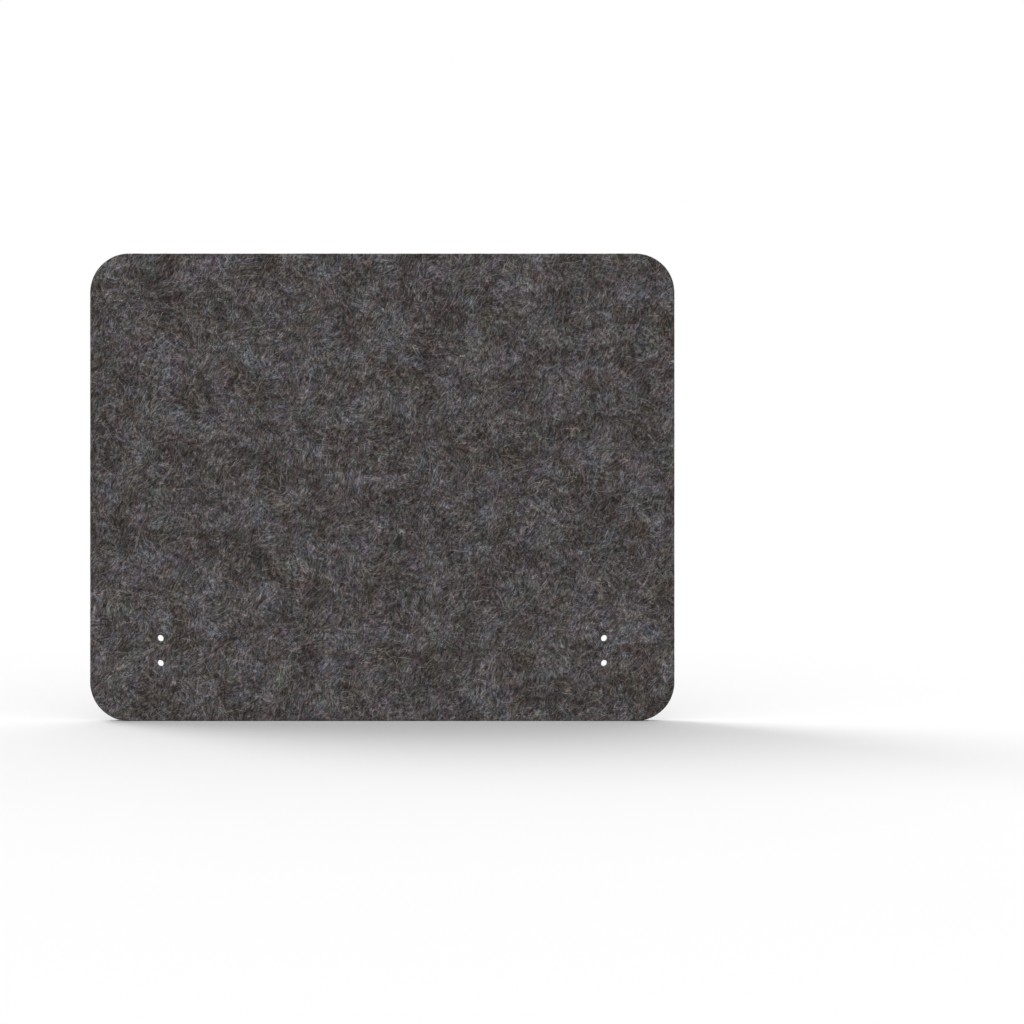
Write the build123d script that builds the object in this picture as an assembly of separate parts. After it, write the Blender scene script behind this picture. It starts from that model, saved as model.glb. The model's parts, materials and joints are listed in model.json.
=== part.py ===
"""Desk divider screen: an upright board of pressed felt, with a pair of bracket holes near each lower corner.

The board stands on its lower edge. Its width runs along X, its thickness along Y and its height along Z.
The front looks towards -Y. The origin is the middle of the lower edge, on the surface that it stands on.
It is a bonded sandwich: felt, film, core, film, felt. A moulded sleeve lines the core at each bolt hole.
All lengths are in millimetres.
"""

from build123d import *
import os

# The board
board_width = 750.0
board_height = 600.0
board_thickness = 12.0
corner_radius = 50.0

# The layers, from each outer face inwards; the core takes what thickness is left
face_felt_thickness = 3.0
bond_film_thickness = 0.2
bond_film_setback = 1.0

# The softened edge where the felt is cut, rounded round the board and bevelled round a bolt hole
cut_edge_round = 0.8
hole_rim_bevel = 0.4

# The bolt holes, for one bracket near each lower corner
bolt_hole_diameter = 8.5
bolt_hole_pitch = 32.0
bolt_column_from_side = 90.0
bolt_pair_above_edge = 90.0

# The sleeve that keeps a bolt from crushing the core
sleeve_wall = 1.25
sleeve_flange_width = 3.5
sleeve_flange_thickness = 1.0
sleeve_lead_in = 0.3
grip_rib_count = 6
grip_rib_height = 0.3
grip_rib_width = 0.8

# The room between a sleeve and what it sits in
rib_clearance = 0.05
flange_clearance = 0.15

# What is worked out from the sizes above
front_face = -board_thickness / 2
rear_face = board_thickness / 2
sandwich_front = front_face + face_felt_thickness
sandwich_rear = rear_face - face_felt_thickness
core_front = sandwich_front + bond_film_thickness
core_rear = sandwich_rear - bond_film_thickness
bolt_radius = bolt_hole_diameter / 2
sleeve_radius = bolt_radius + sleeve_wall
sleeve_seat_radius = sleeve_radius + grip_rib_height + rib_clearance
flange_radius = sleeve_radius + sleeve_flange_width
flange_seat_radius = flange_radius + flange_clearance
flange_front = sandwich_rear - sleeve_flange_thickness
bolt_column = board_width / 2 - bolt_column_from_side
bolt_upper = bolt_pair_above_edge + bolt_hole_pitch / 2
bolt_lower = bolt_pair_above_edge - bolt_hole_pitch / 2


def bolt_places():
    """The name of each bolt hole, with its place across the board and above the lower edge."""
    columns = {"left": -bolt_column, "right": bolt_column}
    rows = {"upper": bolt_upper, "lower": bolt_lower}
    return {f"{row}_{side}": (x, z) for side, x in columns.items() for row, z in rows.items()}


def upright(x, y, z):
    """An upright plane through a point, seen from the front, so that an extrusion comes forwards."""
    return Plane(origin=(x, y, z), x_dir=(1, 0, 0), z_dir=(0, -1, 0))


def round_bar(place, radius, front, rear):
    """A round bar through a bolt hole's place, from one depth to another."""
    x, z = place
    return extrude(upright(x, rear, z) * Circle(radius), rear - front)


def board_layer(front, rear, setback, hole_radius):
    """One layer of the board, cut to its rounded outline less a setback, with its four round holes."""
    width = board_width - 2 * setback
    height = board_height - 2 * setback
    outline = RectangleRounded(width, height, corner_radius - setback)
    layer = extrude(upright(0, rear, board_height / 2) * outline, rear - front)
    for place in bolt_places().values():
        layer -= round_bar(place, hole_radius, front, rear)
    return layer


def softened(layer, order):
    """A felt layer with its cut edges softened at its outer face, which is the first or the last along Y."""
    outer_face = layer.faces().sort_by(Axis.Y)[order]
    rims = [rim for hole in outer_face.inner_wires() for rim in hole.edges()]
    layer = chamfer(rims, hole_rim_bevel)
    outer_face = layer.faces().sort_by(Axis.Y)[order]
    return fillet(outer_face.outer_wire().edges(), cut_edge_round)


def front_felt():
    """The felt that faces the user."""
    return softened(board_layer(front_face, sandwich_front, 0, bolt_radius), 0)


def rear_felt():
    """The felt on the far side."""
    return softened(board_layer(sandwich_rear, rear_face, 0, bolt_radius), -1)


def front_bond_film():
    """The melted film that holds the front felt to the core, clear of the sleeves' bodies."""
    return board_layer(sandwich_front, core_front, bond_film_setback, sleeve_seat_radius)


def rear_bond_film():
    """The melted film that holds the rear felt to the core, clear of the sleeves' flanges."""
    return board_layer(core_rear, sandwich_rear, bond_film_setback, flange_seat_radius)


def core_board():
    """The stiff core, with a stepped seat for each sleeve."""
    core = board_layer(core_front, core_rear, 0, sleeve_seat_radius)
    for place in bolt_places().values():
        core -= round_bar(place, flange_seat_radius, flange_front, core_rear)
    return core


def grip_ribs(place):
    """The ribs along a sleeve's body that hold it in the core while the felts are bonded on."""
    x, z = place
    reach = sleeve_wall + grip_rib_height
    start = sandwich_front + sleeve_lead_in
    rib = Pos(bolt_radius + reach / 2, 0) * Rectangle(reach, grip_rib_width)
    ribs = Sketch() + [turn * rib for turn in PolarLocations(0, grip_rib_count)]
    return extrude(upright(x, flange_front, z) * ribs, flange_front - start)


def sleeve(place):
    """A flanged spacer sleeve, put in from the rear, that carries a bracket bolt's load past the core."""
    body = round_bar(place, sleeve_radius, sandwich_front, sandwich_rear)
    body = chamfer(body.faces().sort_by(Axis.Y)[0].edges(), sleeve_lead_in)
    body += round_bar(place, flange_radius, flange_front, sandwich_rear)
    body += grip_ribs(place)
    return body - round_bar(place, bolt_radius, sandwich_front, sandwich_rear)


def pieces():
    """Every separate piece of the screen, by its name."""
    made = {
        "front_felt": front_felt(),
        "front_bond_film": front_bond_film(),
        "core_board": core_board(),
        "rear_bond_film": rear_bond_film(),
        "rear_felt": rear_felt(),
    }
    for name, place in bolt_places().items():
        made[f"sleeve_{name}"] = sleeve(place)
    return made


os.makedirs("parts", exist_ok=True)
for piece_name, piece in pieces().items():
    export_step(piece, f"parts/{piece_name}.step")
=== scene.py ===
"""Desk divider screen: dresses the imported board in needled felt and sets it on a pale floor.

The board stands upright: X runs along its width, Y through its thickness and Z up.
The front looks towards -Y. All lengths are in metres.
"""

import functools
import json
import math
from typing import NamedTuple

import bmesh
import bpy
import numpy as np
from bpy.props import FloatProperty, FloatVectorProperty, IntProperty, PointerProperty
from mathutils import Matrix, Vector, geometry, noise


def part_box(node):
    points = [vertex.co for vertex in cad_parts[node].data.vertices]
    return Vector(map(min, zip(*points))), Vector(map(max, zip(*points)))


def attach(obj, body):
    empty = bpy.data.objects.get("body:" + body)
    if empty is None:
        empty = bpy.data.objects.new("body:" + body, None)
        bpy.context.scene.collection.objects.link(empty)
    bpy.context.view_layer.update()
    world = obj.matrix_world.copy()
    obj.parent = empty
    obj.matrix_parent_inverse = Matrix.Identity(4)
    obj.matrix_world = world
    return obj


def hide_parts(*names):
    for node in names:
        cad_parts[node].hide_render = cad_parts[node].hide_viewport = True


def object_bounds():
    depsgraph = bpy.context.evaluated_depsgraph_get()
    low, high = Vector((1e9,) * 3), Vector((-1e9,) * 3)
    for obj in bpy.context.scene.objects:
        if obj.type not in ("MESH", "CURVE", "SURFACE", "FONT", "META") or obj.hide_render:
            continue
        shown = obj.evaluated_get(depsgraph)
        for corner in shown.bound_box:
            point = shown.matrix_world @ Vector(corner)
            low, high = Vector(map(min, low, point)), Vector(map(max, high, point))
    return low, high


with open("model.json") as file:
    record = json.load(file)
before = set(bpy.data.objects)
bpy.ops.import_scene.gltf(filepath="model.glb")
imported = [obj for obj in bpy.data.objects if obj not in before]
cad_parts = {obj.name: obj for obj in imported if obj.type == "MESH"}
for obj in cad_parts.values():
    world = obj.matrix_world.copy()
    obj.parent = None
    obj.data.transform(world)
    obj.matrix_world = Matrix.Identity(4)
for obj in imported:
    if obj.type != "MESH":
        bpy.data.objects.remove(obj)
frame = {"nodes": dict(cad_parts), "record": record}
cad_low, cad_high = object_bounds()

bl_info = {
    "name": "Felt Desk Screen",
    "version": (1, 0, 0),
    "blender": (4, 5, 0),
    "location": "View3D > Sidebar > Desk Screen",
    "description": "Builds a bonded felt desk screen, with its stage, lights and camera",
    "category": "Add Mesh",
}

MM = 0.001
TURN = 2 * math.pi
QUARTER = TURN / 4
BODY = "root"

# What the frame says of the board
FRONT_Y = cad_low.y
REAR_Y = cad_high.y
WIDTH = cad_high.x - cad_low.x
HEIGHT = cad_high.z
MIDDLE = np.array((0, HEIGHT / 2))
SLEEVES = ("sleeve_upper_left", "sleeve_lower_left", "sleeve_upper_right", "sleeve_lower_right")
FILMS = ("front_bond_film", "rear_bond_film")
BOLT_RADIUS = frame["record"]["mounts"][0]["dims"]["hole_r_mm"] * MM

# Which finish a face of the felt has
FACE, EDGE = 0, 1

# How much of the relief comes from unevenness of each size
NAP_SHARES = ((22 * MM, 0.8), (7 * MM, 0.7), (3 * MM, 0.4))

# Points that lie nearer to each other than this are one
SAME_PLACE = 1e-9

# How far each piece is shifted across the mix of fibres, so that no two look alike
FRONT_SHIFT, REAR_SHIFT, CORE_SHIFT = 0.0, 2.3, 5.1

# The two layouts of a mesh: where each face lies in the mix of fibres, and on the bake map
FELT_MAP, BAKE_MAP = "FeltPlace", "OFBake"

# The bake map: the outer face fills most of it, and rows above it hold the cut edge
MAP_MARGIN = 0.002
MAP_SCALE = (1 - 2 * MAP_MARGIN) / WIDTH
MAP_FACE_TOP = MAP_MARGIN + HEIGHT * MAP_SCALE
MAP_ROW = 0.037
MAP_ROW_GAP = 0.004
MAP_RIM_ROWS = 4

# The bake map's last row: the walls of the bolt holes, and the hidden faces drawn small
MAP_LAST_ROW = MAP_FACE_TOP + MAP_RIM_ROWS * MAP_ROW + MAP_ROW_GAP
MAP_HOLE_WIDTH = 0.05
MAP_HOLE_STEP = 0.06
MAP_HIDDEN_LEFTS = (0.3, 0.4)
MAP_HIDDEN_SCALE = MAP_SCALE / 20


def bolt_centres():
    """The middle of each bolt hole on the board, as rows of (x, z), from the sleeves that line them."""
    corners = [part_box(name) for name in SLEEVES]
    return np.array([((low.x + high.x) / 2, (low.z + high.z) / 2) for low, high in corners])


class BoardShape(bpy.types.PropertyGroup):
    """Sizes of the felts and the core that the frame's boxes don't hold."""

    corner_radius: FloatProperty(
        name="Corner radius", description="Radius of the board's four corners",
        default=50 * MM, unit="LENGTH")
    cut_round: FloatProperty(
        name="Cut edge round", description="How far the felt is rounded over where it is cut",
        default=0.8 * MM, unit="LENGTH")
    rim_round: FloatProperty(
        name="Hole rim round", description="How far the felt is drawn in round a bolt hole",
        default=0.5 * MM, unit="LENGTH")
    body_seat: FloatProperty(
        name="Sleeve seat", description="Radius of the core's hole round a sleeve's body",
        default=5.85 * MM, unit="LENGTH")
    flange_seat: FloatProperty(
        name="Flange seat", description="Radius of the core's recess round a sleeve's flange",
        default=9.15 * MM, unit="LENGTH")
    flange_depth: FloatProperty(
        name="Flange depth", description="How deep the flange's recess goes into the core from the rear",
        default=0.8 * MM, unit="LENGTH")
    mesh_pitch: FloatProperty(
        name="Mesh pitch", description="Distance between the points of the felt's surface",
        default=2.5 * MM, unit="LENGTH")
    relief: FloatProperty(
        name="Relief", description="How far the needled surface rises and sinks",
        default=0.16 * MM, unit="LENGTH")


class FeltLook(bpy.types.PropertyGroup):
    """Colours and sizes of the needled fibres."""

    ground: FloatVectorProperty(
        name="Ground", description="Colour deep between the fibres",
        default=(0.034, 0.0275, 0.0245), size=3, subtype="COLOR", min=0, max=1)
    cloud: FloatVectorProperty(
        name="Cloud", description="Colour of the paler clouds in the fibre mix",
        default=(0.094, 0.091, 0.101), size=3, subtype="COLOR", min=0, max=1)
    dark_fibre: FloatVectorProperty(
        name="Dark fibre", description="Colour of the darkest fibres",
        default=(0.020, 0.0165, 0.0155), size=3, subtype="COLOR", min=0, max=1)
    brown_fibre: FloatVectorProperty(
        name="Brown fibre", description="Colour of the darker, warmer fibres",
        default=(0.042, 0.034, 0.031), size=3, subtype="COLOR", min=0, max=1)
    grey_fibre: FloatVectorProperty(
        name="Grey fibre", description="Colour of most of the fibres",
        default=(0.120, 0.115, 0.117), size=3, subtype="COLOR", min=0, max=1)
    pale_fibre: FloatVectorProperty(
        name="Pale fibre", description="Colour of the few palest fibres",
        default=(0.208, 0.204, 0.216), size=3, subtype="COLOR", min=0, max=1)
    fibre_length: FloatProperty(
        name="Fibre length", description="Length of a short fibre that shows on the surface",
        default=5 * MM, unit="LENGTH")
    fibre_width: FloatProperty(
        name="Fibre width", description="Width of a tuft of fibres that shows as one",
        default=1.2 * MM, unit="LENGTH")
    thread_length: FloatProperty(
        name="Thread length", description="Length of the few long fibres that lie on top",
        default=28 * MM, unit="LENGTH")
    layers: IntProperty(
        name="Fibre layers", description="How many layers of fibres lie over each other",
        default=14, min=1, max=24)
    lean: FloatProperty(
        name="Fibre lean", description="The way most fibres lie, from level",
        default=math.radians(60), subtype="ANGLE")
    sorting: FloatProperty(
        name="Fibre sorting", description="How much more fibres lie along the lean than across it",
        default=0.42, min=0, max=0.45)
    fibre_cover: FloatProperty(
        name="Fibre cover", description="How much a short fibre hides what lies under it",
        default=0.75, min=0, max=1)
    thread_cover: FloatProperty(
        name="Thread cover", description="How much a long fibre hides what lies under it",
        default=0.8, min=0, max=1)
    thread_gaps: FloatProperty(
        name="Thread gaps", description="Share of the places for a long fibre that are left empty",
        default=0.55, min=0, max=1)
    drift_size: FloatProperty(
        name="Drift size", description="Distance over which the mix drifts to and fro",
        default=70 * MM, unit="LENGTH")
    drift_reach: FloatProperty(
        name="Drift reach", description="How far the mix drifts",
        default=26 * MM, unit="LENGTH")
    curl_size: FloatProperty(
        name="Curl size", description="Distance over which a fibre curls",
        default=10 * MM, unit="LENGTH")
    curl_reach: FloatProperty(
        name="Curl reach", description="How far a fibre curls aside",
        default=5 * MM, unit="LENGTH")
    cloud_size: FloatProperty(
        name="Cloud size", description="Size of the broad clouds in the fibre mix",
        default=58 * MM, unit="LENGTH")
    patch_size: FloatProperty(
        name="Patch size", description="Size of the patches within the clouds",
        default=26 * MM, unit="LENGTH")
    blot_size: FloatProperty(
        name="Blot size", description="Size of the scattered dark blots and pale tangles",
        default=17 * MM, unit="LENGTH")
    shade_size: FloatProperty(
        name="Shade size", description="Size of the patches that are warmer or cooler in colour",
        default=36 * MM, unit="LENGTH")
    tuft_size: FloatProperty(
        name="Tuft size", description="Size of the tufts that the needles pull up",
        default=9 * MM, unit="LENGTH")
    grain_length: FloatProperty(
        name="Grain length", description="Length of the fine streaks between the fibres",
        default=6.5 * MM, unit="LENGTH")
    grain_width: FloatProperty(
        name="Grain width", description="Width of the fine streaks between the fibres",
        default=2.4 * MM, unit="LENGTH")
    edge_layer: FloatProperty(
        name="Edge layer", description="Width of the pressed layers that show along a cut felt edge",
        default=1.2 * MM, unit="LENGTH")
    core_layer: FloatProperty(
        name="Core layer", description="Width of the pressed layers that show along the core's cut edge",
        default=0.9 * MM, unit="LENGTH")
    edge_fibre_length: FloatProperty(
        name="Edge fibre length", description="Length of a fibre that shows along a cut edge",
        default=7 * MM, unit="LENGTH")
    edge_fibre_width: FloatProperty(
        name="Edge fibre width", description="Width of a tuft of fibres that shows along a cut edge",
        default=0.9 * MM, unit="LENGTH")
    edge_wave: FloatProperty(
        name="Edge wave", description="How far the layers along a cut edge wander up and down",
        default=1.2 * MM, unit="LENGTH")
    nep_spacing: FloatProperty(
        name="Nep spacing", description="Distance between the small pale knots of fibre",
        default=48 * MM, unit="LENGTH")


class TrimLook(bpy.types.PropertyGroup):
    """Colours and grain of the bond films and of the bolt sleeves."""

    film_colour: FloatVectorProperty(
        name="Film", description="Colour of the melted bond films",
        default=(0.03, 0.029, 0.029), size=3, subtype="COLOR", min=0, max=1)
    film_grain: FloatProperty(
        name="Film grain", description="Size of the uneven spots in the bond films",
        default=3 * MM, unit="LENGTH")
    film_roughness: FloatProperty(
        name="Film roughness", description="How matt the bond films are", default=0.5, min=0, max=1)
    sleeve_colour: FloatVectorProperty(
        name="Sleeve", description="Colour of the moulded sleeves",
        default=(0.028, 0.028, 0.030), size=3, subtype="COLOR", min=0, max=1)
    sleeve_grain: FloatProperty(
        name="Sleeve grain", description="Size of the uneven spots in the sleeves",
        default=0.6 * MM, unit="LENGTH")
    sleeve_roughness: FloatProperty(
        name="Sleeve roughness", description="How matt the sleeves are", default=0.45, min=0, max=1)


class StageLook(bpy.types.PropertyGroup):
    """The floor, the lights and the camera."""

    floor_colour: FloatVectorProperty(
        name="Floor", description="Colour of the floor",
        default=(0.83, 0.83, 0.83), size=3, subtype="COLOR", min=0, max=1)
    sky: FloatProperty(
        name="Soft light", description="Strength of the even light from all round", default=0.93, min=0)
    key: FloatProperty(
        name="Key light", description="Strength of the light from behind on the left", default=1.22, min=0)
    key_angle: FloatProperty(
        name="Key softness", description="How wide the key light is, seen from the board",
        default=math.radians(30), subtype="ANGLE")
    key_height: FloatProperty(
        name="Key height", description="How high above the floor the key light stands",
        default=math.radians(48), subtype="ANGLE")
    key_side: FloatProperty(
        name="Key side", description="How far to the left of straight behind the key light stands",
        default=math.radians(58), subtype="ANGLE")
    fill: FloatProperty(
        name="Low fill", description="Power of the low light in front, which lifts the board's foot",
        default=0.12, min=0)
    fill_distance: FloatProperty(
        name="Low fill distance", description="From the low light to the board's front",
        default=1.0, unit="LENGTH")
    distance: FloatProperty(
        name="Camera distance", description="From the camera to the board's front",
        default=2.21, unit="LENGTH")


# Outlines and cut edges

def ways_at(turns):
    """The way that each turn points, as rows of (x, z)."""
    return np.stack((np.cos(turns), np.sin(turns)), axis=1)


def board_outline(shape):
    """Places round the board's rounded outline, and the way out of the board at each, as rows of (x, z)."""
    radius = shape.corner_radius
    half = np.array((WIDTH, HEIGHT)) / 2 - radius
    corners = MIDDLE + half * ((1, 1), (-1, 1), (-1, -1), (1, -1))
    steps = round(QUARTER * radius / shape.mesh_pitch)
    places, ways = [], []
    for k, corner in enumerate(corners):
        out = ways_at(QUARTER * (k + np.arange(steps + 1) / steps))
        start = corner + radius * out[-1]
        stop = corners[(k + 1) % 4] + radius * out[-1]
        count = round(math.dist(start, stop) / shape.mesh_pitch)
        share = np.arange(1, count)[:, None] / count
        places += [corner + radius * out, start + (stop - start) * share]
        ways += [out, np.repeat(out[-1:], count - 1, axis=0)]
    return np.concatenate(places), np.concatenate(ways)


def hole_outline(centre, radius, count=32):
    """Places round a bolt hole, and the way out of the board's material at each, as rows of (x, z)."""
    out = ways_at(TURN * np.arange(count) / count)
    return centre + radius * out, -out


def rounded_cut(radius, thick, bends=4):
    """Stations down a cut edge that is rounded over at the outer face: inset, depth and lean of each."""
    leans = QUARTER * np.arange(bends + 1) / bends
    stations = [(radius * (1 - math.sin(a)), radius * (1 - math.cos(a)), a) for a in leans]
    return stations + straight_cut(radius, thick)[1:]


def straight_cut(start, stop, inset=0.0, step=0.5 * MM):
    """Stations down a straight cut edge: inset, depth and lean of each."""
    count = math.ceil((stop - start) / step)
    return [(inset, start + (stop - start) * k / count, QUARTER) for k in range(count + 1)]


def steps_along(places):
    """How far along a row of places each one is."""
    return np.concatenate(([0], np.cumsum(np.linalg.norm(np.diff(places, axis=0), axis=1))))


# Faces

def depth_inside(points, shape):
    """How far inside the board's outline each point of its face lies."""
    radius = shape.corner_radius
    past = np.abs(points - MIDDLE) - (np.array((WIDTH, HEIGHT)) / 2 - radius)
    beyond_corner = np.linalg.norm(np.maximum(past, 0), axis=1)
    return radius - np.maximum(beyond_corner, past.max(axis=1))


def spread_points(shape):
    """Points spread evenly over a felt's outer face, clear of its cut edge and of its bolt holes."""
    pitch = shape.mesh_pitch
    rise = pitch * math.sqrt(3) / 2
    rows, columns = np.mgrid[0:int(HEIGHT / rise) + 1, 0:int(WIDTH / pitch) + 1]
    x = -WIDTH / 2 + columns * pitch + (rows % 2) * pitch / 2
    points = np.stack((x.ravel(), (rows * rise).ravel()), axis=1)
    keep = depth_inside(points, shape) > shape.cut_round + pitch / 2
    for centre in bolt_centres():
        keep &= np.linalg.norm(points - centre, axis=1) > BOLT_RADIUS + shape.rim_round + pitch / 2
    return points[keep]


def triangulate(rim, holes, inside):
    """Triangles over the face that the rim bounds, less its holes. Points are numbered rim, holes, inside."""
    points = np.concatenate([rim, *holes, inside])
    made = geometry.delaunay_2d_cdt([Vector(p) for p in points], [], [], 0, SAME_PLACE)
    order = np.array([sources[0] for sources in made[3]])
    triangles = order[np.array(made[2])]
    middles = points[triangles].mean(axis=1)
    keep = np.ones(len(triangles), bool)
    for hole in holes:
        centre = hole.mean(axis=0)
        inscribed = np.linalg.norm(hole[:2].mean(axis=0) - centre)
        keep &= np.linalg.norm(middles - centre, axis=1) > inscribed
    return triangles[keep]


def felt_face(shape):
    """Points spread over a felt's outer face, and triangles between its rim, its holes and these points."""
    rim, ways = board_outline(shape)
    holes = [hole_outline(centre, BOLT_RADIUS + shape.rim_round)[0] for centre in bolt_centres()]
    inside = spread_points(shape)
    return inside, triangulate(rim - ways * shape.cut_round, holes, inside)


class MapRoom(NamedTuple):
    """Room on the bake map: its lower left corner, its map widths to a metre, and a wall's rows."""

    corner: tuple
    scale: float
    rows: int = 1


def hole_room(k):
    """The bake map's room for the wall of one bolt hole, or for a seat of up to twice its radius."""
    widest = TURN * 2 * BOLT_RADIUS
    return MapRoom((MAP_MARGIN + k * MAP_HOLE_STEP, MAP_LAST_ROW), MAP_HOLE_WIDTH / widest)


FACE_ROOM = MapRoom((MAP_MARGIN, MAP_MARGIN), MAP_SCALE)
RIM_ROOM = MapRoom((MAP_MARGIN, MAP_FACE_TOP + MAP_ROW_GAP), MAP_SCALE, MAP_RIM_ROWS)
BACK_ROOM, FAR_ROOM = [MapRoom((left, MAP_LAST_ROW), MAP_HIDDEN_SCALE) for left in MAP_HIDDEN_LEFTS]


class Layer:
    """The points and faces of one layer of the board, with their places for the finishes and the bake."""

    def __init__(self, outer_y, inner_y, shift):
        self.outer_y = outer_y
        self.thick = abs(inner_y - outer_y)
        self.way = math.copysign(1, outer_y - inner_y)
        self.shift = shift
        self.points = np.zeros((0, 3))
        self.leans = np.zeros((0, 3))
        self.faces = []
        self.finishes = []
        self.places = []
        self.map_places = []

    def add_points(self, places, ways, depth, lean):
        """Adds a ring or field of points at one depth, and returns their numbers."""
        first = len(self.points)
        y = np.full(len(places), self.outer_y - self.way * depth)
        self.points = np.vstack((self.points, np.stack((places[:, 0], y, places[:, 1]), axis=1)))
        out = np.zeros((len(places), 3))
        out[:, (0, 2)] = ways * math.sin(lean)
        out[:, 1] = self.way * math.cos(lean)
        self.leans = np.vstack((self.leans, out))
        return np.arange(first, len(self.points))

    def add_faces(self, faces, places, map_places, finish):
        """Adds faces, with the place of each of their corners in both layouts."""
        self.faces += faces.tolist()
        self.finishes += [finish] * len(faces)
        self.places.append(places.reshape(-1, 2) + self.shift)
        self.map_places.append(map_places.reshape(-1, 2))

    def cover(self, numbers, triangles, finish, room):
        """Adds a field of triangles, laid out by where they lie on the board."""
        faces = np.concatenate(numbers)[triangles]
        places = self.points[faces][:, :, (0, 2)]
        self.add_faces(faces, places, room.corner + (places + (WIDTH / 2, 0)) * room.scale, finish)

    def add_wall(self, places, ways, stations, room):
        """Adds a closed cut wall, and returns its first and last rings.

        It is laid out by the way round and down it, but where it is rounded over, the face's finish runs on.
        """
        rings = [self.add_points(places - ways * inset, ways, depth, lean) for inset, depth, lean in stations]
        count = len(places)
        here = np.arange(count)
        after = (here + 1) % count
        along = steps_along(np.concatenate((places, places[:1])))
        down = steps_along(np.array([station[:2] for station in stations]))
        row = here * room.rows // count
        row_start = along[np.searchsorted(row, row)]
        left = room.corner[0] + (along[:-1] - row_start) * room.scale
        right = room.corner[0] + (along[1:] - row_start) * room.scale
        base = room.corner[1] + row * MAP_ROW
        up = down / down[-1] * (MAP_ROW - MAP_ROW_GAP)
        for k in range(len(rings) - 1):
            upper, lower = rings[k], rings[k + 1]
            faces = np.stack((upper[here], upper[after], lower[after], lower[here]), axis=1)
            map_places = corners_of(left, right, base + up[k], base + up[k + 1])
            if stations[k + 1][2] < QUARTER:
                self.add_faces(faces, self.points[faces][:, :, (0, 2)], map_places, FACE)
                continue
            laid = corners_of(along[:-1], along[1:], np.full(count, down[k]), np.full(count, down[k + 1]))
            self.add_faces(faces, laid, map_places, EDGE)
        return rings[0], rings[-1]

    def raise_nap(self, relief, count):
        """Raises and sinks the first points, as needling does. Those of cut walls move sideways alone."""
        for i in range(count):
            spot = Vector(self.points[i])
            rise = sum(share * noise.noise(spot / size) for size, share in NAP_SHARES)
            self.points[i] += self.leans[i] * rise * relief

    def build(self, name):
        """Puts the finished piece in the scene, with its faces turned outwards and its layouts."""
        mesh = bpy.data.meshes.new(name)
        mesh.from_pydata(self.points.tolist(), [], self.faces)
        mesh.polygons.foreach_set("material_index", self.finishes)
        for layout, places in ((FELT_MAP, self.places), (BAKE_MAP, self.map_places)):
            made = mesh.uv_layers.new(name=layout)
            made.data.foreach_set("uv", np.concatenate(places).astype(np.float32).ravel())
        work = bmesh.new()
        work.from_mesh(mesh)
        bmesh.ops.recalc_face_normals(work, faces=work.faces)
        work.to_mesh(mesh)
        work.free()
        mesh.shade_smooth()
        mesh.set_sharp_from_angle(angle=QUARTER / 2)
        piece = bpy.data.objects.new(name, mesh)
        bpy.context.scene.collection.objects.link(piece)
        return piece


def corners_of(left, right, top, bottom):
    """The four corners of each of a row of places, as x and y."""
    return np.stack((left, top, right, top, right, bottom, left, bottom), axis=1).reshape(-1, 4, 2)


def felt_piece(name, shape, face, outer_y, inner_y, shift):
    """One face felt: a closed sheet with softened cut edges and drawn-in hole rims."""
    layer = Layer(outer_y, inner_y, shift)
    rings = [layer.add_wall(*board_outline(shape), rounded_cut(shape.cut_round, layer.thick), RIM_ROOM)]
    for k, centre in enumerate(bolt_centres()):
        cut = rounded_cut(shape.rim_round, layer.thick)
        rings.append(layer.add_wall(*hole_outline(centre, BOLT_RADIUS), cut, hole_room(k)))
    outer_rings, inner_rings = zip(*rings)
    inside, triangles = face
    field = layer.add_points(inside, np.zeros_like(inside), 0, 0)
    layer.cover([*outer_rings, field], triangles, FACE, FACE_ROOM)
    layer.cover(inner_rings, plain_face(layer, inner_rings), EDGE, BACK_ROOM)
    layer.raise_nap(shape.relief, len(layer.points))
    return layer.build(name)


def plain_face(layer, rings):
    """Triangles over a flat face that needs no points but those of its rim and its holes."""
    rim, *holes = [layer.points[ring][:, (0, 2)] for ring in rings]
    return triangulate(rim, holes, np.zeros((0, 2)))


def core_piece(name, shape, front_y, rear_y, shift):
    """The core between the felts: a closed board with a stepped seat round each sleeve."""
    layer = Layer(front_y, rear_y, shift)
    step = layer.thick - shape.flange_depth
    widening = shape.body_seat - shape.flange_seat
    seat = straight_cut(0, step, 0.0, step) + straight_cut(step, layer.thick, -widening, shape.flange_depth)
    rings = [layer.add_wall(*board_outline(shape), straight_cut(0, layer.thick), RIM_ROOM)]
    rim_count = len(layer.points)
    for k, centre in enumerate(bolt_centres()):
        rings.append(layer.add_wall(*hole_outline(centre, shape.body_seat), seat, hole_room(k)))
    front_rings, rear_rings = zip(*rings)
    layer.cover(front_rings, plain_face(layer, front_rings), EDGE, BACK_ROOM)
    layer.cover(rear_rings, plain_face(layer, rear_rings), EDGE, FAR_ROOM)
    layer.raise_nap(shape.relief, rim_count)
    return layer.build(name)


# Node trees

# The middle of a noise's outputs, and the span that most of them lie in
NOISE_MIDDLE = (0.5, 0.5, 0)
NOISE_SPAN = (0.2, 0.8)


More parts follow.
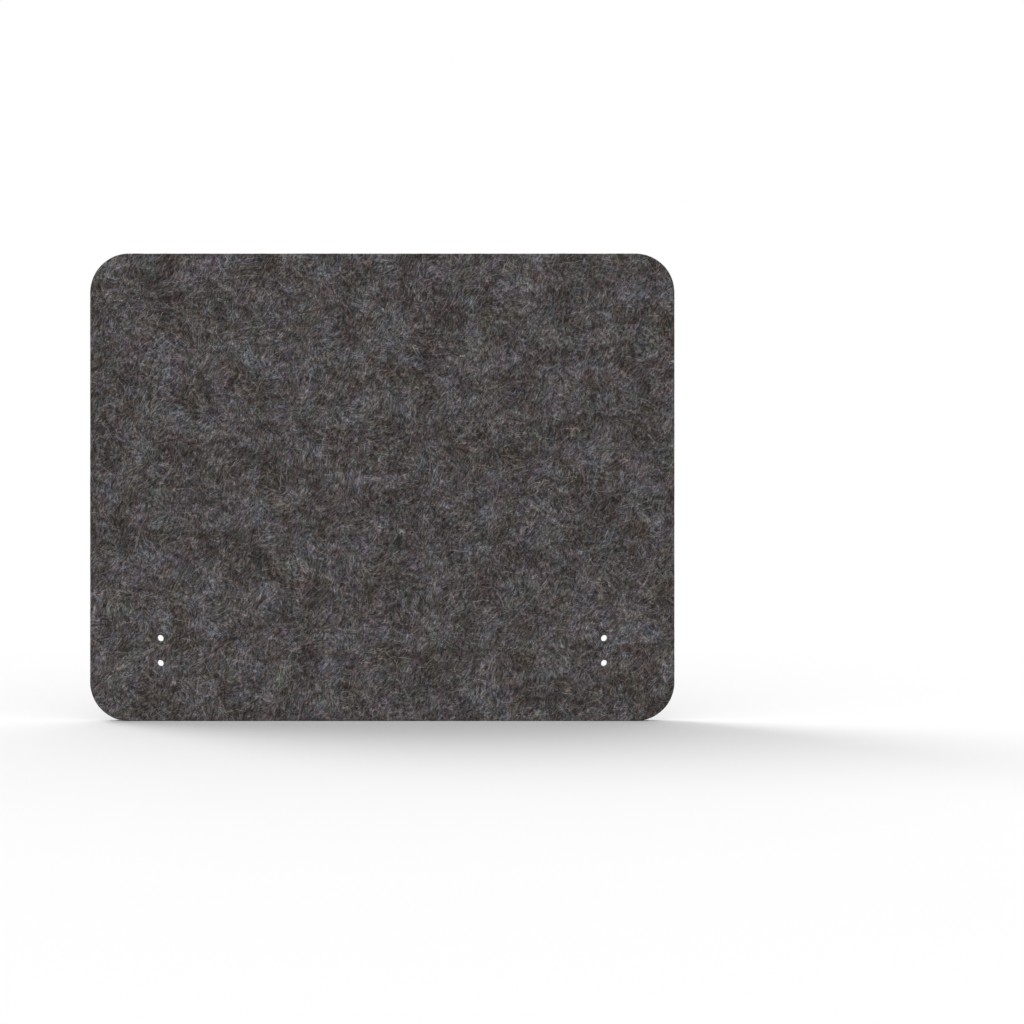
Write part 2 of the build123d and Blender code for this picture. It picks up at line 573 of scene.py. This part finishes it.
class Tree:
    """Adds nodes to a node tree, each with its settings and what feeds it."""

    def __init__(self, tree):
        self.tree = tree

    def add(self, kind, inputs=None, **settings):
        """Adds a node. An input is a value, or the socket of another node that feeds it."""
        made = self.tree.nodes.new(kind if kind.startswith("Node") else "ShaderNode" + kind)
        for name, value in settings.items():
            setattr(made, name, value)
        for key, value in (inputs or {}).items():
            if isinstance(value, bpy.types.NodeSocket):
                self.tree.links.new(value, made.inputs[key])
            elif value is not None:
                made.inputs[key].default_value = value
        return made

    def math(self, operation, *values):
        """The result of one sum."""
        return self.add("Math", dict(enumerate(values)), operation=operation).outputs[0]

    def vector(self, operation, *values):
        """The result of one vector sum."""
        inputs = dict(enumerate(values))
        if operation == "SCALE":
            inputs["Scale"] = inputs.pop(1)
        made = self.add("VectorMath", inputs, operation=operation)
        return made.outputs["Value"] if operation == "LENGTH" else made.outputs[0]

    def blend(self, share, first, second, way="MIX"):
        """One colour laid over another."""
        made = self.add("Mix", {0: share, 6: first, 7: second}, data_type="RGBA", blend_type=way)
        return made.outputs[2]

    def fade(self, value, low, high, to_low=0.0, to_high=1.0, kind="SMOOTHSTEP"):
        """A value eased from one range to another."""
        inputs = {0: value, 1: low, 2: high, 3: to_low, 4: to_high}
        return self.add("MapRange", inputs, interpolation_type=kind).outputs[0]

    def ramp(self, value, stops):
        """A colour picked by a value, from stops of a share and a colour."""
        made = self.add("ValToRGB", {0: value})
        elements = made.color_ramp.elements
        for share, _ in stops[1:-1]:
            elements.new(share)
        for element, (share, colour) in zip(elements, stops):
            element.position = share
            element.color = rgba(colour)
        return made.outputs[0]

    def turn(self, place, angle):
        """Places turned in their plane."""
        return self.add("VectorRotate", {"Vector": place, "Angle": angle}, rotation_type="Z_AXIS").outputs[0]

    def noise(self, place, size, detail, rough=0.5):
        """The outputs of a noise that changes over about the size."""
        inputs = {"Vector": place, "Scale": 1 / size, "Detail": detail, "Roughness": rough}
        return self.add("TexNoise", inputs, noise_dimensions="2D").outputs

    def mottle(self, place, size, detail, rough, shift=(0.0, 0.0)):
        """An uneven value, from 0 to 1, that changes over about the size."""
        return self.noise(self.vector("ADD", place, (*shift, 0)), size, detail, rough)[0]

    def sway(self, place, size, reach, shift=0.0, detail=1.0):
        """Places moved unevenly to and fro, by up to half the reach, over about the size."""
        uneven = self.noise(self.vector("ADD", place, (shift, shift, 0)), size, detail)[1]
        away = self.vector("SUBTRACT", uneven, NOISE_MIDDLE)
        return self.vector("ADD", place, self.vector("MULTIPLY", away, (reach, reach, 0)))

    def streaks(self, place, width, length, turn, shift, detail=0.3):
        """An uneven value drawn out one way, as fibres that lie together are."""
        turned = self.turn(self.vector("ADD", place, (shift, shift, 0)), turn)
        return self.noise(self.vector("MULTIPLY", turned, (width / length, 1, 0)), width, detail)[0]

    def bump(self, height, strength, distance):
        """The surface's way out, tilted by a height."""
        return self.add("Bump", {"Strength": strength, "Distance": distance, "Height": height}).outputs[0]


def rgba(colour):
    """A colour with its alpha."""
    return (*colour, 1.0)


def new_material(name):
    """An empty node material and its tree."""
    material = bpy.data.materials.new(name)
    material.use_nodes = True
    material.node_tree.nodes.clear()
    return material, Tree(material.node_tree)


def finish_surface(tree, colour, roughness, bump, sheen=0.0, specular=0.3):
    """Ends a material in one surface."""
    inputs = {"Base Color": colour, "Roughness": roughness, "Normal": bump,
              "Sheen Weight": sheen, "Specular IOR Level": specular}
    surface = tree.add("BsdfPrincipled", inputs)
    tree.add("OutputMaterial", {"Surface": surface.outputs[0]})


# The felt's materials

FIBRE_GROUP = "fibre layer"

# The tones that a fibre is drawn from, as shares of all fibres, and the tints that it is multiplied by
FIBRE_SHARES = (0.0, 0.38, 0.80, 1.0)
FIBRE_TINTS = ((0.0, (1.24, 0.95, 0.90)), (0.35, (1.03, 0.98, 0.96)),
               (0.6, (0.95, 1.03, 0.94)), (1.0, (0.88, 0.99, 1.28)))

# How high a fibre lies, as a slope of its chance and a start
FIBRE_HEIGHT = (0.4, 0.6)

# A fibre's cell, in fibre lengths and widths
CELL_LENGTHS, CELL_WIDTHS = 1.25, 2.6

# Where a fibre ends in its cell, and where it covers fully, along it and across it
REACH_ALONG = (0.45, 0.20)
REACH_ACROSS = (0.20, 0.02)

# The ways that streaks and long fibres lie, in degrees from the lean, and how far the clouds are turned
GRAIN_WAYS = (-18, 2, 20, 42)
THREAD_WAYS = (-25, 10, 70, 118)
CLOUD_TURN = math.radians(32)

# Each layer of fibres is turned from the last by this share, so that no two lie the same way
GOLDEN_SHARE = (math.sqrt(5) - 1) / 2

# How far each layer of fibres and of streaks lies from the last one in its noise, and each set of curls
LAYER_SHIFT = (0.37, 0.61)
GRAIN_SHIFT = 2.3
CURL_SHIFTS = (0.0, 5.0, 9.0)

# The lengths of fibres, in turn, as shares of the short one, and how many of the last layers stand out
FIBRE_LENGTH_SHARES = (1, 2, 3)
RAISED_LAYERS = 4

# A long fibre's width as a share of a short one's, and the number of its first layer
THREAD_WIDTH_SHARE = 0.7
THREAD_START = 31

# How far fibres are paler in the clouds, as a slope and a start, and how much more the long ones are
CLOUD_PALER = (0.20, -0.13)
THREAD_PALER = 0.15

# The detail, the roughness and the shift of each unevenness in the mix
CLOUD_NOISE = (3.0, 0.55)
PATCH_NOISE = (2.0, 0.6, (3.1, 2.17))
SHADE_NOISE = (4.0, 0.8)
TUFT_NOISE = (1.0, 0.5, (7.7, 5.39))
BLOT_NOISE = (2.0, 0.6, (11.3, 7.91))
TANGLE_NOISE = (2.0, 0.6, (17.9, 12.53))
LAYER_NOISE = (3.0, 0.65)
CLUMP_NOISE = (2.0, 0.6, (4.3, 3.01))

# What each unevenness is eased between, and the darkest and palest tone that it gives
CLOUD_RANGE = (0.59, 1.41)
GRAIN_RANGE = (1.4, 2.6)
BLOT_RANGE = (0.56, 0.73)
GRAIN_TONES = (0.445, 1.465)
TUFT_TONES = (0.68, 1.32)
BLOT_TONE = 0.82
TANGLE_TONE = 1.20

# The chance from which a place has a knot, and from which it is full, its radii, and how much paler it is
NEP_CHANCES = (0.5, 0.75)
NEP_RADII = (2.6 * MM, 0.6 * MM)
NEP_PALER = 0.45

# The felt's surface, and how deep it is on its face and on its cut edges
FELT_ROUGHNESS = 0.95
FELT_SHEEN = 0.1
FELT_SPECULAR = 0.15
FELT_BUMP = 0.6
FACE_DEPTH = 0.35 * MM
EDGE_DEPTH = 0.25 * MM

# The cut edge: how its layers are drawn out, how many make a clump, how many layers of fibres it has
# and how far they fan out, and the darkest and palest tones of its layers and clumps
LAYER_STRETCH = (0.15, 1.0, 1.0)
CLUMP_LAYERS = 3
EDGE_LAYERS = 7
EDGE_FAN = math.radians(80)
LAYER_TONES = (0.4, 1.6)
CLUMP_TONES = (0.6, 1.4)

# The felt's uneven shades, as red, green and blue, and its tint between and in the clouds
SHADE_SPREAD = (0.50, 0.28, 0.60)
SHADE_BASE = (0.82, 0.918, 0.737)
TINT_BETWEEN_CLOUDS = (0.915, 0.888, 0.872)
TINT_IN_CLOUDS = (1.025, 1.047, 1.063)

# A plain surface: its detail, how much paler its spots are, how its roughness varies over them, and its bump
PLAIN_DETAIL = 2.0
PLAIN_PALER = 1.5
PLAIN_SPAN = (0.3, 0.7)
PLAIN_ROUGHNESS_REACH = 0.08
PLAIN_BUMP = (0.3, 0.05 * MM)


def fibre_group(look):
    """One layer of fibres as a node group, which lays them over the colour and the height it is given."""
    group = bpy.data.node_groups.new(FIBRE_GROUP, "ShaderNodeTree")
    for name in ("Place", "Across"):
        group.interface.new_socket(name, in_out="INPUT", socket_type="NodeSocketVector")
    for name in ("Turn", "Length", "Width", "Share", "Bare", "Paler"):
        group.interface.new_socket(name, in_out="INPUT", socket_type="NodeSocketFloat")
    for way in ("INPUT", "OUTPUT"):
        group.interface.new_socket("Colour", in_out=way, socket_type="NodeSocketColor")
        group.interface.new_socket("Height", in_out=way, socket_type="NodeSocketFloat")
    tree = Tree(group)
    given = tree.add("NodeGroupInput").outputs
    chances, cover = scattered_fibres(tree, given)
    drawn = tree.math("ADD", chances[0], given["Paler"])
    tones = (look.dark_fibre, look.brown_fibre, look.grey_fibre, look.pale_fibre)
    fibre = tree.ramp(drawn, tuple(zip(FIBRE_SHARES, tones)))
    tint = tree.ramp(chances[1], FIBRE_TINTS)
    laid = tree.blend(cover, given["Colour"], tree.blend(1.0, fibre, tint, "MULTIPLY"))
    raised = tree.math("MULTIPLY_ADD", chances[0], *FIBRE_HEIGHT)
    height = tree.add("Mix", {0: cover, 2: given["Height"], 3: raised}, data_type="FLOAT").outputs[0]
    tree.add("NodeGroupOutput", {"Colour": laid, "Height": height})


def scattered_fibres(tree, given):
    """Fibres scattered one to a cell: the chances drawn for each, and how far each place is covered."""
    turned = tree.turn(tree.vector("ADD", given["Place"], given["Across"]), given["Turn"])
    cell_length = tree.math("MULTIPLY", given["Length"], CELL_LENGTHS)
    cell_width = tree.math("MULTIPLY", given["Width"], CELL_WIDTHS)
    cell = tree.add("CombineXYZ", {0: cell_length, 1: cell_width, 2: 1}).outputs[0]
    grid = tree.vector("DIVIDE", turned, cell)
    nearest = tree.add("TexVoronoi", {"Vector": grid, "Scale": 1.0}, voronoi_dimensions="2D").outputs
    off = tree.vector("SUBTRACT", grid, nearest["Position"])
    off = tree.add("SeparateXYZ", {0: tree.vector("ABSOLUTE", off)}).outputs
    body = tree.math("MULTIPLY", tree.fade(off[0], *REACH_ALONG), tree.fade(off[1], *REACH_ACROSS))
    chances = tree.add("SeparateColor", {0: nearest["Color"]}).outputs
    shown = tree.math("MULTIPLY", tree.math("GREATER_THAN", chances[2], given["Bare"]), given["Share"])
    return chances, tree.math("MULTIPLY", body, shown)


def lay_fibres(tree, under, place, k, turn, length, width, share, bare=0.0, paler=0.0):
    """Lays layer number k of fibres over a colour and a height. Some of its cells are left bare."""
    across = (LAYER_SHIFT[0] * k, LAYER_SHIFT[1] * k, 0)
    inputs = {"Place": place, "Across": across, "Turn": turn, "Length": length, "Width": width,
              "Share": share, "Bare": bare, "Paler": paler, "Colour": under[0], "Height": under[1]}
    made = tree.add("Group", inputs, node_tree=bpy.data.node_groups[FIBRE_GROUP])
    return made.outputs["Colour"], made.outputs["Height"]


def felt_face_material(look):
    """Needled felt seen face on: clouds of mixed fibres, with bent ones of several tones over each other."""
    material, tree = new_material("needled felt face")
    place = tree.add("UVMap", uv_map=FELT_MAP).outputs[0]
    drift = tree.sway(place, look.drift_size, look.drift_reach)
    askew = tree.turn(drift, CLOUD_TURN)
    curls = [tree.sway(drift, look.curl_size, look.curl_reach, shift) for shift in CURL_SHIFTS]
    clouds = tree.mottle(askew, look.cloud_size, *CLOUD_NOISE)
    patches = tree.mottle(drift, look.patch_size, *PATCH_NOISE)
    body = tree.fade(tree.math("ADD", clouds, patches), *CLOUD_RANGE)
    grain = felt_grain(tree, look, curls)
    colour = tree.blend(body, rgba(look.ground), rgba(look.cloud))
    colour, height = felt_fibres(tree, look, curls, colour, grain, body)
    tint = felt_tint(tree, look, askew, body)
    tone = felt_tone(tree, look, drift, curls, grain)
    colour = tree.blend(1.0, colour, tree.vector("SCALE", tint, tone), "MULTIPLY")
    finish_felt(tree, colour, height, FACE_DEPTH)
    return material


def finish_felt(tree, colour, height, depth):
    """Ends a felt material in one matt surface with a faint sheen."""
    bump = tree.bump(height, FELT_BUMP, depth)
    finish_surface(tree, colour, FELT_ROUGHNESS, bump, FELT_SHEEN, FELT_SPECULAR)


def felt_tint(tree, look, place, body):
    """The colours that the felt is multiplied by: uneven shades, cooler and paler in the clouds."""
    shades = tree.noise(place, look.shade_size, *SHADE_NOISE)[1]
    tint = tree.vector("MULTIPLY_ADD", shades, SHADE_SPREAD, SHADE_BASE)
    return tree.vector("MULTIPLY", tint, tree.blend(body, rgba(TINT_BETWEEN_CLOUDS), rgba(TINT_IN_CLOUDS)))


def felt_tone(tree, look, drift, curls, grain):
    """How dark or pale the felt is from grain, tufts, blots, tangles and knots together, about 1."""
    tufts = tree.mottle(drift, look.tuft_size, *TUFT_NOISE)
    blots = tree.mottle(drift, look.blot_size, *BLOT_NOISE)
    tangles = tree.mottle(drift, look.blot_size, *TANGLE_NOISE)
    tones = [tree.fade(grain, 0, 1, *GRAIN_TONES, kind="LINEAR"),
             tree.fade(tufts, *NOISE_SPAN, *TUFT_TONES, kind="LINEAR"),
             tree.fade(blots, *BLOT_RANGE, 1.0, BLOT_TONE),
             tree.fade(tangles, *BLOT_RANGE, 1.0, TANGLE_TONE),
             felt_neps(tree, look, curls[0])]
    return functools.reduce(lambda first, second: tree.math("MULTIPLY", first, second), tones)


def felt_grain(tree, look, curls):
    """The fine streaks between the fibres, from 0 to 1."""
    total = 0.0
    for k, away in enumerate(GRAIN_WAYS):
        turn = -look.lean - math.radians(away)
        curl = curls[k % len(curls)]
        streaks = tree.streaks(curl, look.grain_width, look.grain_length, turn, GRAIN_SHIFT * k)
        total = tree.math("ADD", total, streaks)
    return tree.fade(total, *GRAIN_RANGE, kind="LINEAR")


def felt_fibres(tree, look, curls, colour, height, body):
    """Lays every layer of fibres, the last ones raised. They lie all ways, but mostly along the lean."""
    paler = tree.math("MULTIPLY_ADD", body, *CLOUD_PALER)
    for k in range(look.layers):
        share = fan_share(k)
        turn = -look.lean - TURN / 2 * share + look.sorting * math.sin(TURN * share)
        length = look.fibre_length * FIBRE_LENGTH_SHARES[k % len(FIBRE_LENGTH_SHARES)]
        colour, raised = lay_fibres(tree, (colour, height), curls[k % len(curls)], k, turn, length,
                                    look.fibre_width, look.fibre_cover, 0.0, paler)
        if k >= look.layers - RAISED_LAYERS:
            height = raised
    paler = tree.math("ADD", paler, THREAD_PALER)
    width = look.fibre_width * THREAD_WIDTH_SHARE
    for k, away in enumerate(THREAD_WAYS):
        turn = -look.lean - math.radians(away)
        colour, height = lay_fibres(tree, (colour, height), curls[k % len(curls)], THREAD_START + k, turn,
                                    look.thread_length, width, look.thread_cover, look.thread_gaps, paler)
    return colour, height


def fan_share(k):
    """Where layer number k of fibres lies in the fan of their ways, from minus a half to a half."""
    return k * GOLDEN_SHARE % 1 - 0.5


def felt_neps(tree, look, place):
    """How much paler the felt is at its few small knots of fibre."""
    grid = tree.vector("SCALE", place, 1 / look.nep_spacing)
    nearest = tree.add("TexVoronoi", {"Vector": grid, "Scale": 1.0}, voronoi_dimensions="2D").outputs
    off = tree.vector("LENGTH", tree.vector("SUBTRACT", grid, nearest["Position"]))
    rim, crown = NEP_RADII
    knot = tree.fade(off, rim / look.nep_spacing, crown / look.nep_spacing)
    chosen = tree.fade(nearest["Color"], *NEP_CHANCES)
    return tree.math("MULTIPLY_ADD", tree.math("MULTIPLY", knot, chosen), NEP_PALER, 1.0)


def cut_edge_material(look, name, layer_width):
    """A cut edge of felt: the face's mix of fibres, pressed into thin layers that run along the board."""
    material, tree = new_material(name)
    place = tree.add("UVMap", uv_map=FELT_MAP).outputs[0]
    place = tree.sway(place, look.tuft_size, look.edge_wave)
    flat = tree.vector("MULTIPLY", place, LAYER_STRETCH)
    layers = tree.mottle(flat, layer_width, *LAYER_NOISE)
    clumps = tree.mottle(flat, layer_width * CLUMP_LAYERS, *CLUMP_NOISE)
    body = tree.fade(tree.math("ADD", clumps, layers), *CLOUD_RANGE)
    colour = tree.blend(body, rgba(look.ground), rgba(look.cloud))
    paler = tree.math("MULTIPLY_ADD", body, *CLOUD_PALER)
    height = layers
    for k in range(EDGE_LAYERS):
        turn = fan_share(k) * EDGE_FAN
        colour, height = lay_fibres(tree, (colour, height), place, k, turn, look.edge_fibre_length,
                                    look.edge_fibre_width, look.fibre_cover, 0.0, paler)
    tones = tree.math("MULTIPLY", tree.fade(layers, *NOISE_SPAN, *LAYER_TONES, kind="LINEAR"),
                      tree.fade(clumps, *NOISE_SPAN, *CLUMP_TONES, kind="LINEAR"))
    tint = tree.vector("SCALE", felt_tint(tree, look, place, body), tones)
    colour = tree.blend(1.0, colour, tint, "MULTIPLY")
    finish_felt(tree, colour, height, EDGE_DEPTH)
    return material


def plain_material(name, base, grain, roughness):
    """A moulded or melted surface with a faint uneven tone and grain."""
    material, tree = new_material(name)
    place = tree.add("TexCoord").outputs["Object"]
    uneven = tree.add("TexNoise", {"Vector": place, "Scale": 1 / grain, "Detail": PLAIN_DETAIL}).outputs[0]
    paler = tuple(min(1.0, c * PLAIN_PALER) for c in base)
    colour = tree.blend(uneven, rgba(base), rgba(paler))
    roughnesses = (roughness - PLAIN_ROUGHNESS_REACH, roughness + PLAIN_ROUGHNESS_REACH)
    rough = tree.fade(uneven, *PLAIN_SPAN, *roughnesses)
    finish_surface(tree, colour, rough, tree.bump(uneven, *PLAIN_BUMP))
    return material


def dress(piece, materials):
    """Gives a piece its materials."""
    piece.data.materials.clear()
    for material in materials:
        piece.data.materials.append(material)


# Operators

class DESKSCREEN_OT_face_felts(bpy.types.Operator):
    """Makes the front and rear felts that stand for the solid ones"""

    bl_idname = "deskscreen.face_felts"
    bl_label = "Face felts"

    def execute(self, context):
        shape, look = context.scene.board_shape, context.scene.felt_look
        fibre_group(look)
        edge = cut_edge_material(look, "cut felt edge", look.edge_layer)
        materials = [felt_face_material(look), edge]
        face = felt_face(shape)
        for side, outer_y, shift in (("front", FRONT_Y, FRONT_SHIFT), ("rear", REAR_Y, REAR_SHIFT)):
            node = f"{side}_felt"
            low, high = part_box(node)
            inner_y = high.y if side == "front" else low.y
            felt = felt_piece(f"{side}_needled_felt", shape, face, outer_y, inner_y, shift)
            dress(felt, materials)
            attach(felt, BODY)
            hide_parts(node)
        return {"FINISHED"}


class DESKSCREEN_OT_core(bpy.types.Operator):
    """Makes the pressed core between the felts"""

    bl_idname = "deskscreen.core"
    bl_label = "Pressed core"

    def execute(self, context):
        shape, look = context.scene.board_shape, context.scene.felt_look
        low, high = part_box("core_board")
        core = core_piece("pressed_core", shape, low.y, high.y, CORE_SHIFT)
        edge = cut_edge_material(look, "cut core edge", look.core_layer)
        dress(core, [edge, edge])
        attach(core, BODY)
        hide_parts("core_board")
        return {"FINISHED"}


class DESKSCREEN_OT_bond_films(bpy.types.Operator):
    """Gives the adhesive films between the layers their finish"""

    bl_idname = "deskscreen.bond_films"
    bl_label = "Bond films"

    def execute(self, context):
        look = context.scene.trim_look
        material = plain_material("melted bond film", look.film_colour, look.film_grain, look.film_roughness)
        for name in FILMS:
            dress(frame["nodes"][name], [material])
        return {"FINISHED"}


class DESKSCREEN_OT_sleeves(bpy.types.Operator):
    """Gives the sleeves in the bolt holes their finish"""

    bl_idname = "deskscreen.sleeves"
    bl_label = "Bolt sleeves"

    def execute(self, context):
        look = context.scene.trim_look
        material = plain_material("moulded black nylon", look.sleeve_colour, look.sleeve_grain,
                                  look.sleeve_roughness)
        for name in SLEEVES:
            dress(frame["nodes"][name], [material])
        return {"FINISHED"}


# The stage

# How far the floor reaches each way
FLOOR_REACH = 30.0

# The low light's width and height, how far it spreads, and its level above the floor
FILL_WIDTH, FILL_HEIGHT = 1.3, 100 * MM
FILL_SPREAD = math.radians(20)
FILL_LEVEL = 60 * MM

# The photograph, in pixels: its width and height, and where the board's sides and top lie in it
PICTURE = 1024
BOARD_LEFT, BOARD_RIGHT = 90.03, 674.58
BOARD_TOP = 253.47

# The camera's place across from the board's middle and above its foot, and its sensor's width in millimetres
EYE_X, EYE_Z = 0.0141, 0.3055
SENSOR_WIDTH = 36


class DESKSCREEN_OT_stage(bpy.types.Operator):
    """Sets the floor, the lights and the camera"""

    bl_idname = "deskscreen.stage"
    bl_label = "Stage"

    def execute(self, context):
        stage = context.scene.stage_look
        lay_floor(stage)
        light_room(stage)
        light_board(stage)
        set_camera(stage)
        context.scene.view_settings.view_transform = "Standard"
        return {"FINISHED"}


def lay_floor(stage):
    """A wide pale floor, at the level that the board stands on."""
    mesh = bpy.data.meshes.new("floor")
    corners = [(x * FLOOR_REACH, y * FLOOR_REACH, 0) for x, y in ((-1, -1), (1, -1), (1, 1), (-1, 1))]
    mesh.from_pydata(corners, [], [(0, 1, 2, 3)])
    floor = bpy.data.objects.new("floor", mesh)
    bpy.context.scene.collection.objects.link(floor)
    material, tree = new_material("pale floor")
    surface = tree.add("BsdfDiffuse", {"Color": rgba(stage.floor_colour)})
    tree.add("OutputMaterial", {"Surface": surface.outputs[0]})
    mesh.materials.append(material)


def light_room(stage):
    """Soft light from all round, seen as white."""
    world = bpy.data.worlds.new("soft studio")
    world.use_nodes = True
    world.node_tree.nodes.clear()
    tree = Tree(world.node_tree)
    path = tree.add("LightPath").outputs
    seen = tree.math("MAXIMUM", path["Is Camera Ray"],
                     tree.math("MAXIMUM", path["Is Glossy Ray"], path["Is Transmission Ray"]))
    strength = tree.add("Mix", {0: seen, 2: stage.sky, 3: 1.0}, data_type="FLOAT").outputs[0]
    light = tree.add("Background", {"Color": (1, 1, 1, 1), "Strength": strength})
    tree.add("OutputWorld", {"Surface": light.outputs[0]})
    bpy.context.scene.world = world


def light_board(stage):
    """A soft key light from behind on the left, and a low one in front that lifts the foot of the board."""
    across, rise = math.cos(stage.key_height), math.sin(stage.key_height)
    key_way = (math.sin(stage.key_side) * across, -math.cos(stage.key_side) * across, -rise)
    key = hang_lamp("key light", "SUN", stage.key, (0, 0, 0), key_way)
    key.angle = stage.key_angle
    fill_place = (0, FRONT_Y - stage.fill_distance, FILL_LEVEL)
    fill = hang_lamp("low fill", "AREA", stage.fill, fill_place, (0, 1, 0))
    fill.shape = "RECTANGLE"
    fill.size = FILL_WIDTH
    fill.size_y = FILL_HEIGHT
    fill.spread = FILL_SPREAD


def hang_lamp(name, kind, strength, place, way):
    """Adds a lamp that shines one way, and returns its settings."""
    lamp = bpy.data.lights.new(name, kind)
    lamp.energy = strength
    holder = bpy.data.objects.new(name, lamp)
    holder.location = place
    holder.rotation_euler = Vector(way).to_track_quat("-Z", "Y").to_euler()
    holder.visible_camera = False
    bpy.context.scene.collection.objects.link(holder)
    return lamp


def set_camera(stage):
    """The photograph's view: square on, with the board left of the middle of the picture."""
    pixel = WIDTH / (BOARD_RIGHT - BOARD_LEFT)
    sight_x = (BOARD_LEFT + BOARD_RIGHT) / 2 + EYE_X / pixel
    sight_y = BOARD_TOP + (HEIGHT - EYE_Z) / pixel
    data = bpy.data.cameras.new("camera")
    data.sensor_width = SENSOR_WIDTH
    data.lens = stage.distance / pixel / PICTURE * SENSOR_WIDTH
    data.shift_x = (PICTURE / 2 - sight_x) / PICTURE
    data.shift_y = (sight_y - PICTURE / 2) / PICTURE
    camera = bpy.data.objects.new("camera", data)
    camera.location = (EYE_X, FRONT_Y - stage.distance, EYE_Z)
    camera.rotation_euler = (QUARTER, 0, 0)
    bpy.context.scene.collection.objects.link(camera)
    bpy.context.scene.camera = camera


class DESKSCREEN_PT_panel(bpy.types.Panel):
    """Lists the steps that build the desk screen"""

    bl_label = "Felt desk screen"
    bl_idname = "DESKSCREEN_PT_panel"
    bl_space_type = "VIEW_3D"
    bl_region_type = "UI"
    bl_category = "Desk Screen"

    def draw(self, context):
        scene = context.scene
        for group in (scene.board_shape, scene.felt_look, scene.trim_look, scene.stage_look):
            box = self.layout.box()
            for name in type(group).__annotations__:
                box.prop(group, name)
        for operator in OPERATORS:
            self.layout.operator(operator.bl_idname)


OPERATORS = (
    DESKSCREEN_OT_face_felts,
    DESKSCREEN_OT_core,
    DESKSCREEN_OT_bond_films,
    DESKSCREEN_OT_sleeves,
    DESKSCREEN_OT_stage,
)
CLASSES = (BoardShape, FeltLook, TrimLook, StageLook, *OPERATORS, DESKSCREEN_PT_panel)


def register():
    for cls in CLASSES:
        bpy.utils.register_class(cls)
    bpy.types.Scene.board_shape = PointerProperty(type=BoardShape)
    bpy.types.Scene.felt_look = PointerProperty(type=FeltLook)
    bpy.types.Scene.trim_look = PointerProperty(type=TrimLook)
    bpy.types.Scene.stage_look = PointerProperty(type=StageLook)


def unregister():
    del bpy.types.Scene.stage_look
    del bpy.types.Scene.trim_look
    del bpy.types.Scene.felt_look
    del bpy.types.Scene.board_shape
    for cls in reversed(CLASSES):
        bpy.utils.unregister_class(cls)


def main():
    """Registers the add-on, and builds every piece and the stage."""
    register()
    bpy.ops.deskscreen.face_felts()
    bpy.ops.deskscreen.core()
    bpy.ops.deskscreen.bond_films()
    bpy.ops.deskscreen.sleeves()
    bpy.ops.deskscreen.stage()


if __name__ == "__main__":
    main()
